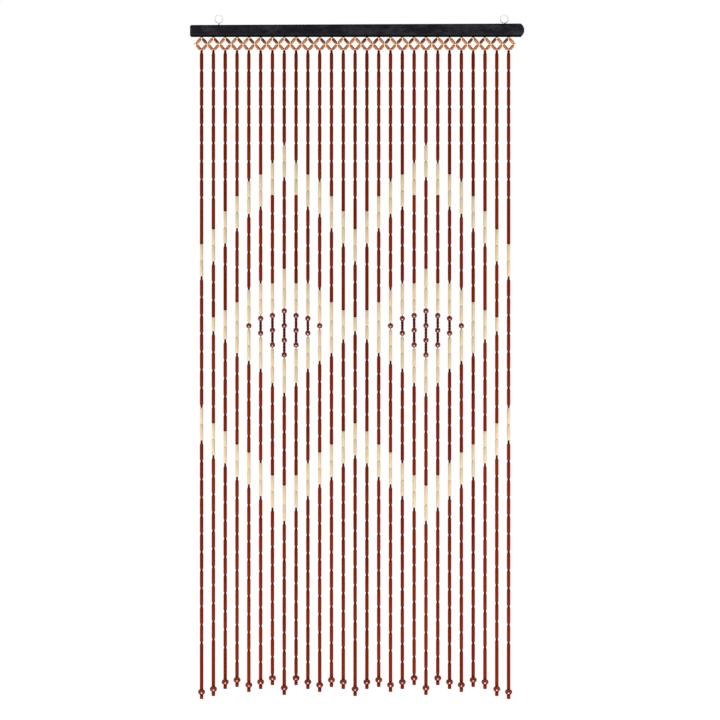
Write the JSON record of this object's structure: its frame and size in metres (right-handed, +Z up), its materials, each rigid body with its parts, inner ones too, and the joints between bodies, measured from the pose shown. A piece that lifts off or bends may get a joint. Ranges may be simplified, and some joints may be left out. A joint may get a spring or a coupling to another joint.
{
  "type": "bead curtain with hanging bar",
  "caption": "Doorway curtain of turned wooden tube beads on strings, hung from a black bar with screw eyes; cream beads draw nested diamonds.",
  "frame": {"origin": "on the line on which the two screw eyes hang, above the middle string and in the plane of the strings", "axes": "+Z up along the strings, +X along the bar towards its rounded end, +Y out of the bar's back face, so the front looks towards -Y"},
  "size_m": [0.9, 0.02, 1.8424],
  "materials": {
    "black_wood": "black stained wood, satin",
    "zinc_wire": "bright zinc plate",
    "bead_wood": "red brown lacquer, with cream and gold beads"
  },
  "bodies": {
    "root": {"hanging_bar": "black_wood", "left_screw_eye": "zinc_wire", "right_screw_eye": "zinc_wire", "bead_strings": "bead_wood"}
  },
  "joints": []
}
